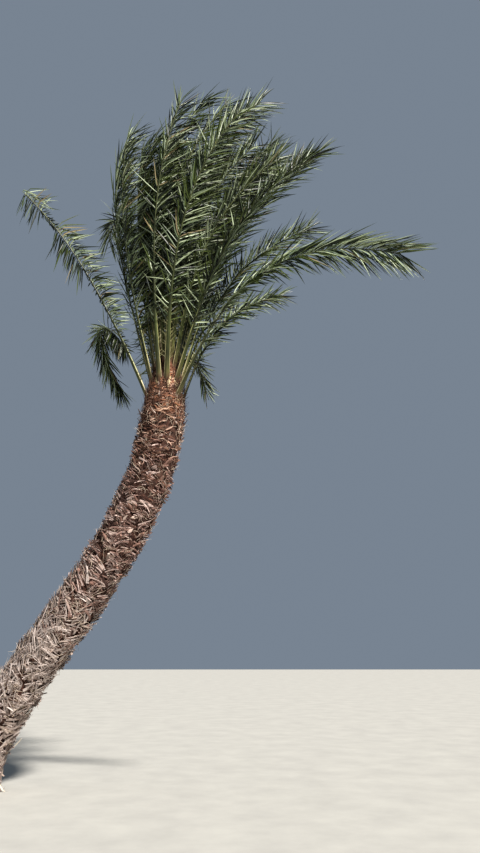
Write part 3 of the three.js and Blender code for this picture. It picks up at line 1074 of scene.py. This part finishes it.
# Where a leaflet and a spine sit on the stalk, in shares of its width and depth.
LEAFLET_SEAT = (0.32, 0.2)
SPINE_SEAT = (0.42, 0.15)
SPINES = 22
SPINE_WIDTH = 0.003


def seats(frond, s, hand, places, side, up, seat):
    """The places on the sides of the stalk that leaflets or spines grow from."""
    width, depth = stalk_size(frond, s)
    return places + side * (hand * width * seat[0])[:, None] + up * (depth * seat[1])[:, None]


def choose_leaflets(spec, scale):
    """The leaflets of a frond: number, side, share of the stalk and mark. Worn ones have stumps."""
    pairs = round(LEAFLET_PAIRS * scale * spec.dense)
    number = np.tile(np.arange(pairs), 2)
    hand = np.repeat([1.0, -1.0], pairs)
    spot = number + crown_rng.uniform(0.1, 0.9, 2 * pairs)
    s = FIRST_LEAFLET + (1 - FIRST_LEAFLET) * spot / pairs
    marks = marks_at(spec, s, hand)
    grown = (s > SPARSE_UP_TO) | (number % 2 == 0)
    keep = grown & ((marks != "n") | (spec.ruffle > 1))
    return number[keep], hand[keep], s[keep], marks[keep]


def leaflet_lengths(spec, scale, full, s, broken, stump):
    """The length of each leaflet: uneven, more so low down and on a worn frond."""
    n = len(s)
    length = LEAFLET_LENGTH * full * math.sqrt(scale) * crown_rng.uniform(0.55 + 0.25 * s, 1.04)
    worn = np.where(spec.ruffle > 1, crown_rng.uniform(0.45, 1.1, n), 1)
    length *= np.where(broken, 1, spec.leaf) * worn
    return np.where(stump, crown_rng.uniform(0.02, 0.09, n), length)


def leaflet_ways(spec, number, hand, s, broken, along, side, up):
    """The way in which each leaflet leaves the stalk, the way in which it ends and how soon it
    bends from the one to the other. Its end stays on its own side of the stalk."""
    n = len(hand)
    opening = OPEN_AT_FOOT + (OPEN_AT_TIP - OPEN_AT_FOOT) * s
    angle = np.radians(opening + crown_rng.normal(0, OPENING_NOISE, n))
    lift = LIFT + (PLANES[number % 4] + crown_rng.normal(0, LIFT_NOISE, n)) * spec.fan
    root = unit(
        along * np.cos(angle)[:, None]
        + side * (hand * np.sin(angle))[:, None]
        + up * (lift * np.sin(angle))[:, None]
        + crown_rng.normal(0, ROOT_NOISE * spec.ruffle, (n, 3))
    )
    sweep = np.where(broken, 0, spec.sweep * crown_rng.uniform(0.4, 1.35, n))
    drop = np.where(broken, BROKEN_DROP, spec.hang * crown_rng.uniform(0.4, 1.5, n))
    loose = crown_rng.normal(0, END_NOISE * spec.ruffle, (n, 3))
    end = unit(root + WIND * sweep[:, None] - UP * drop[:, None] + loose)
    elbow = np.where(broken, BROKEN_ELBOW, ELBOW)
    way = root * elbow[:, None] + end * (1 - elbow)[:, None]
    missing = np.maximum(LEAST_SPREAD - hand * np.sum(way * side, axis=1), 0)
    return root, unit(end + side * (hand * missing / (1 - elbow))[:, None]), elbow


def bent_blades(root, end, elbow, length):
    """The way of each leaflet at each step of its blade, and how far it has travelled there."""
    n = len(length)
    bend = np.clip((BLADE_STEPS - 0.02) / (1.1 * elbow[:, None]), 0, 1)
    bend = (bend * bend * (3 - 2 * bend))[:, :, None]
    limp = crown_rng.random(n) < LIMP_SHARE
    slack = np.where(limp, crown_rng.uniform(0.15, 0.6, n), crown_rng.uniform(0, 0.08, n))
    sinking = slack[:, None, None] * (BLADE_STEPS**2)[None, :, None]
    ways = unit(root[:, None] * (1 - bend) + end[:, None] * bend - UP * sinking)
    steps = np.diff(BLADE_STEPS)[None, :, None] * length[:, None, None]
    travelled = np.cumsum((ways[:, :-1] + ways[:, 1:]) / 2 * steps, axis=1)
    return ways, np.concatenate([np.zeros((n, 1, 3)), travelled], axis=1)


def carried(face, ways):
    """A blade's flat side, carried along its line without a twist."""
    faces = np.empty_like(ways)
    for step in range(ways.shape[1]):
        way = ways[:, step]
        face = unit(face - way * np.sum(face * way, axis=1, keepdims=True))
        faces[:, step] = face
    return faces


def grow_leaflets(frond):
    """All the leaflets of a frond, as drawn blades, and which tint each has."""
    spec = frond.spec
    scale = spec.length / FULL_FROND
    number, hand, s, marks = choose_leaflets(spec, scale)
    broken = marks == "b"
    stump = marks == "n"
    n = len(hand)
    places, along, side, up = frond.at(s)
    full = SHORTEST_SHARE + (1 - SHORTEST_SHARE) * np.sin(math.pi / 2 * s / FULLEST_AT)
    length = leaflet_lengths(spec, scale, full, s, broken, stump)
    ways, travelled = bent_blades(
        *leaflet_ways(spec, number, hand, s, broken, along, side, up), length
    )
    line = seats(frond, s, hand, places, side, up, LEAFLET_SEAT)[:, None] + travelled
    roll = crown_rng.normal(0.25, 0.7, n)[:, None] * -hand[:, None]
    twist = crown_rng.normal(0, 0.3, n)[:, None] * BLADE_STEPS
    faces = carried(along, ways)
    faces, normals = rolled(faces, np.cross(ways, faces), roll + twist)
    share = (SHORT_WIDTH + (1 - SHORT_WIDTH) * full) * (1 - TIP_THINNING * s)
    half = LEAFLET_WIDTH / 2 * share * crown_rng.uniform(0.8, 1.15, n)
    widths = half[:, None] * BLADE_WIDTHS
    rings = ringed(line, faces, normals, widths, widths, BLADE)
    lengths = s[:, None] * 5 + BLADE_STEPS * length[:, None]
    return rings, lengths, deal_tints(frond, s, broken | stump)


def marks_at(spec, s, hand):
    """Whole, broken or none: what became of each leaflet, by its share of the stalk and side."""
    place = (s - FIRST_LEAFLET) / (1 - FIRST_LEAFLET)
    sides = [np.array(list(marks)) for marks in (spec.left, spec.right)]
    on_left, on_right = (marks[(place * len(marks)).astype(int)] for marks in sides)
    return np.where(hand > 0, on_left, on_right)


def deal_tints(frond, s, broken):
    """A tint for each leaflet. Some share that of their spray, and broken ones are darker, partly
    as painted shade where they hang.
    """
    n = len(s)
    spray = crown_rng.choice(len(TINTS), size=SPRAYS, p=frond.tints)
    own = crown_rng.choice(len(TINTS), size=n, p=frond.tints)
    tint = np.where(crown_rng.random(n) < SPRAY_SHARE, spray[(s * SPRAYS).astype(int)], own)
    return np.where(broken, crown_rng.choice(len(TINTS), size=n, p=BROKEN_AND_SHADE_TINTS), tint)


def grow_spines(frond):
    """Stiff spines in place of leaflets on the lower stalk."""
    n = SPINES
    hand = np.tile([1.0, -1.0], n // 2)
    s = np.sort(crown_rng.uniform(0.07, 0.23, n))
    places, along, side, up = frond.at(s)
    angle = np.radians(crown_rng.uniform(25, 60, n))
    way = along * np.cos(angle)[:, None] + side * (hand * np.sin(angle))[:, None]
    way = unit(way + up * crown_rng.uniform(0.0, 0.6, n)[:, None])
    u = np.linspace(0, 1, 4)
    length = crown_rng.uniform(0.05, 0.12, n)
    seat = seats(frond, s, hand, places, side, up, SPINE_SEAT)
    line = seat[:, None] + way[:, None] * (length[:, None] * u)[..., None]
    faces = unit(np.cross(way, up + 0.01 * side))[:, None] + 0 * line
    normals = np.cross(way[:, None] + 0 * line, faces)
    widths = SPINE_WIDTH * (1.05 - u)[None] + 0 * length[:, None]
    return ringed(line, faces, normals, widths, widths, SPLINTER), u[None] * length[:, None]


# Finishes by name.
floor_finish = grained("floor_finish", "9e9c97", "a8a6a0", 2.0, 0.9, 0.001)
# The core's dark colours are partly painted shade of the hollows between the leaf bases.
core_shade_finish = grained("core_shade_finish", "1c0f0b", "5a3c30", 60.0, 0.95, 0.004, (1, 1, 0.4))
stub_finishes = [
    streaked("stub_grey", "7a6a61", "b8a89e", 0.9, 0.003),
    streaked("stub_brown", "5a4038", "a07f72", 0.9, 0.003),
    streaked("stub_rust", "3c281f", "80604f", 0.9, 0.003),
]
# The cut ends' pale colours are partly their own and partly painted highlight.
chip_and_highlight_finish = streaked("chip_and_highlight_finish", "a08a7d", "d6c2b6", 0.85, 0.001)
strip_finishes = [
    weathered("strip_grey", ("b0a099", "dccfc8"), ("85756d", "b5a59d"), ("4a3c36", "7d6c64")),
    weathered("strip_tan", ("9c857e", "d0bbb2"), ("684e47", "a08479"), ("33201b", "5e4640")),
    weathered("strip_rust", ("927060", "ccae9c"), ("55382c", "836050"), ("25110c", "4a2a20")),
]
# Up to which share the strips of each band are pale, and up to which they are pale or middling.
STRIP_SHARES = np.array([[0.5, 0.88], [0.3, 0.72], [0.2, 0.65]])
thread_finishes = [
    streaked("thread_pale", "a08e7c", "d2c4b2", 0.8, 0.0005),
    streaked("thread_brown", "3a281e", "75594a", 0.85, 0.0005),
]
spike_finish = streaked("spike_finish", "2a1c15", "5e4535", 0.8, 0.001)
strap_finish = streaked("strap_finish", "a8987f", "dacfbb", 0.7, 0.001)
# The neck fibres' near-black colours are partly painted shade between the stalks.
neck_fibre_shade_finish = streaked("neck_fibre_shade_finish", "24130c", "6b4836", 0.85, 0.001)
band_finishes = [
    streaked("neck_band_pale", "9c7862", "ccac96", 0.9, 0.001),
    streaked("neck_band_red", "784b35", "a87a5e", 0.9, 0.001),
    streaked("neck_band_dark", "301a10", "5e3b2a", 0.9, 0.001),
]
# The sheaths' pale colours are partly their own and partly painted highlight.
sheath_and_highlight_finish = streaked("sheath_and_highlight_finish", "7d6a4b", "c9b78f", 0.6, 0.002)
wrap_finish = woven("wrap_finish", "5a3222", "a87a62", 70.0, 0.004)
STALK_COLOURS = [(0, "6e5540"), (1, "5a5f36"), (0.03, "666238"), (0.1, "4b5327"), (0.3, "3f4624")]
# The margins' pale colours near the foot are partly their own and partly painted highlight.
MARGIN_AND_HIGHLIGHT_COLOURS = [(0, "d8c8a6"), (1, "858a58"), (0.06, "d2c79b"), (0.14, "b1b07a"), (0.3, "838b56")]
stalk_finish = shaded_along("stalk_finish", STALK_COLOURS, 9.0, 0.42, 0.0006)
margin_and_highlight_finish = shaded_along("margin_and_highlight_finish", MARGIN_AND_HIGHLIGHT_COLOURS, 14.0, 0.45, 0.0006)
spine_finish = streaked("spine_finish", "6a6c42", "9c9770", 0.5, 0.0004)
leaf_finishes = [
    # The dark tint is near black: partly the leaflets' own dark green, partly painted shade.
    streaked("leaf_dark_and_shade", "0b1406", "1a2610", 0.46, 0.0004),
    streaked("leaf_olive", "333f18", "525e28", 0.46, 0.0004),
    streaked("leaf_grey", "4e5c43", "758265", 0.48, 0.0004),
    # The pale tint is partly the leaflets' own pale grey-green, partly painted highlight for the
    # glints of their waxy faces.
    streaked("leaf_pale_and_glint", "828f72", "adb696", 0.5, 0.0004),
    streaked("leaf_straw", "6b6044", "998c6a", 0.55, 0.0004),
]


# The whole palm.
place_camera()
light_studio()
lay_floor(floor_finish)

show("trunk_core", build_core(), core_shade_finish, ["trunk"])
base_reach, base_angle = base_places()
BANDS = ("low", "middle", "high")
stub_reach, stub_angle = scatter_stubs(base_reach, base_angle)
stub_zone = zones(stub_reach)
for band in range(3):
    own = stub_zone == band
    heap = build_stubs(stub_reach[own], stub_angle[own])
    show_on_trunk(f"stubs_{BANDS[band]}", heap, 45, stub_finishes[band])

show_on_trunk("cut_ends", build_chips(base_reach, base_angle), 45, chip_and_highlight_finish)
strips = build_strips(base_reach, base_angle)
strip_zone = zones(strips["reach"])
pick = trunk_rng.random(len(strip_zone))
strip_tint = np.sum(pick[:, None] > STRIP_SHARES[strip_zone], axis=1)
for band in range(3):
    for tint in range(3):
        own = (strip_zone == band) & (strip_tint == tint)
        heap = laid(**picked(strips, own), section=SPLINTER)
        show_on_trunk(f"strips_{BANDS[band]}_{tint + 1}", heap, 40, strip_finishes[band][tint])

threads = build_threads(base_reach, base_angle)
thread_tint = trunk_rng.integers(0, 2, len(threads["reach"]))
for tint in range(2):
    heap = laid(**picked(threads, thread_tint == tint), section=THREAD)
    show_on_trunk(f"threads_{tint + 1}", heap, 60, thread_finishes[tint])

show_on_trunk("spikes", build_spikes(), 40, spike_finish)
bands = build_neck_bands()
band_tint = trunk_rng.choice(3, size=NECK_BANDS, p=(0.3, 0.4, 0.3))
for tint in range(3):
    heap = laid(**picked(bands, band_tint == tint), section=SPLINTER, wave=BAND_WAVE)
    show_on_trunk(f"neck_bands_{tint + 1}", heap, 50, band_finishes[tint])

show_on_trunk("neck_fibres", build_neck_fibres(), 40, neck_fibre_shade_finish)
show_on_trunk("foot_straps", build_foot_straps(), 40, strap_finish)

fronds = [
    grow_frond(name, i + 1, spec, whorl)
    for name, whorl in WHORLS.items()
    for i, spec in enumerate(whorl.fronds)
]
all_fronds = [frond.name for frond in fronds]
wrapped = [frond for frond in fronds if frond.whorl in ("middle", "upper")]
wraps = show("neck_wraps", build_wraps(wrapped), wrap_finish, ["trunk"])
thickening = wraps.modifiers.new("cloth", "SOLIDIFY")
thickening.thickness = WRAP_THICKNESS
thickening.offset = 0
sheathed = [frond for frond in fronds if frond.whorl in ("lower", "middle")]
sheaths = mesh_of("sheaths", [build_sheaths(sheathed)], 45)
show("sheaths", sheaths, sheath_and_highlight_finish, all_fronds)
show("stalks", build_stalks(fronds), stalk_finish, all_fronds)
show("stalk_margins", build_margins(fronds), margin_and_highlight_finish, all_fronds)
spines = [drawn(*grow_spines(frond)) for frond in fronds]
show("spines", mesh_of("spines", spines, 60), spine_finish, all_fronds)

for whorl_name in WHORLS:
    own_fronds = [frond for frond in fronds if frond.whorl == whorl_name]
    grown = [grow_leaflets(frond) for frond in own_fronds]
    for tint, tint_name in enumerate(TINTS):
        heaps = [
            drawn(rings[tints == tint], lengths[tints == tint]) for rings, lengths, tints in grown
        ]
        name = f"leaflets_{whorl_name}_{tint_name}"
        names = [frond.name for frond in own_fronds]
        show(name, mesh_of(name, heaps, 28), leaf_finishes[tint], names)
